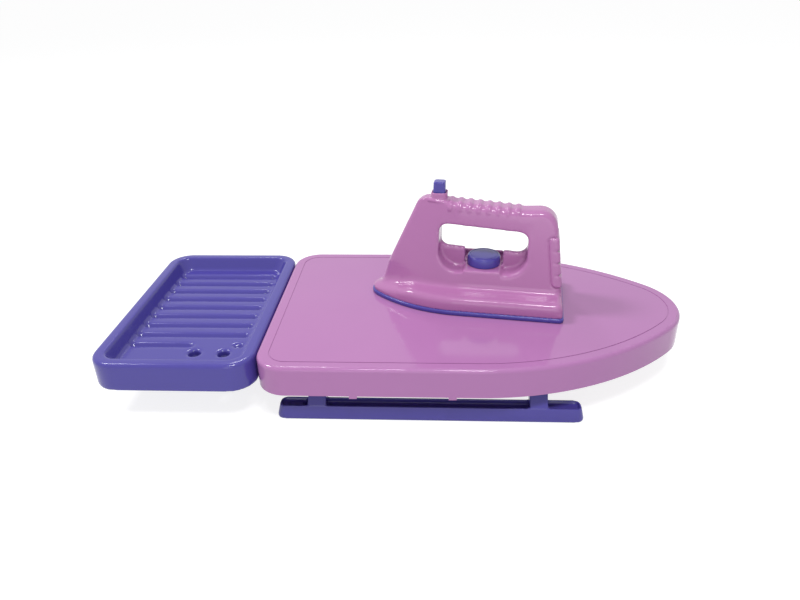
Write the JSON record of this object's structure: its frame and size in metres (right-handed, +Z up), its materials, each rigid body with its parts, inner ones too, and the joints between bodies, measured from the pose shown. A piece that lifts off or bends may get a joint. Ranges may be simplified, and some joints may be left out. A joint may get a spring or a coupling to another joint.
{
  "type": "toy ironing board",
  "caption": "Low toy ironing board: a pointed pan on two folding leg rails, a plug-in grooved tray at its square end, and a lift-off toy iron with a turning dial and a push button.",
  "frame": {"origin": "middle of the bounding box at floor level, under the board", "axes": "+X towards the board's nose along its length, +Y to the rear, +Z up"},
  "size_m": [0.5554, 0.246, 0.1836],
  "materials": {
    "pink_shell": "glossy moulded plastic, pinkish lilac",
    "pink_iron": "glossy moulded plastic, pink",
    "purple_plastic": "glossy moulded plastic, blue purple",
    "steel": "plated steel"
  },
  "bodies": {
    "board": {"board_shell": "pink_shell", "front_hinge_rod": "steel", "rear_hinge_rod": "steel", "rod_nuts": "steel", "front_cap_tray_end": "pink_shell", "front_cap_nose_end": "pink_shell", "rear_cap_tray_end": "pink_shell", "rear_cap_nose_end": "pink_shell", "cap_screws": "steel"},
    "front_leg": {"front_leg": "purple_plastic"},
    "rear_leg": {"rear_leg": "purple_plastic"},
    "tray": {"tray": "purple_plastic"},
    "iron": {"iron_near_half": "pink_iron", "iron_far_half": "pink_iron", "sole_plate": "purple_plastic", "sole_screws": "steel", "iron_screws": "steel", "button_spring": "steel"},
    "dial": {"dial": "purple_plastic", "dial_washer": "steel", "dial_screw": "steel"},
    "steam_button": {"steam_button": "purple_plastic"}
  },
  "joints": [
    {"name": "front_leg_fold", "type": "hinge", "parent": "board", "child": "front_leg", "pos_m": [0.0276, -0.08172, 0.0502], "axis": [1, 0, 0], "range_deg": [0, 112]},
    {"name": "rear_leg_fold", "type": "hinge", "parent": "board", "child": "rear_leg", "pos_m": [0.0276, 0.08172, 0.0502], "axis": [-1, 0, 0], "range_deg": [0, 112]},
    {"name": "tray_pull", "type": "slide", "parent": "board", "child": "tray", "axis": [-1, 0, 0], "range_m": [0, 0.035]},
    {"name": "iron_lift", "type": "slide", "parent": "board", "child": "iron", "axis": [0, 0, 1], "range_m": [0, 0.12]},
    {"name": "dial_turn", "type": "hinge", "parent": "iron", "child": "dial", "pos_m": [0.08346, 0.01411, 0.1004], "axis": [0, 0, 1], "range_deg": [-140, 140]},
    {"name": "steam_button_press", "type": "slide", "parent": "iron", "child": "steam_button", "axis": [0, 0, -1], "range_m": [0, 0.004], "stiffness_N_per_m": 150, "springref_m": -0.001, "deforming": ["button_spring"]}
  ]
}
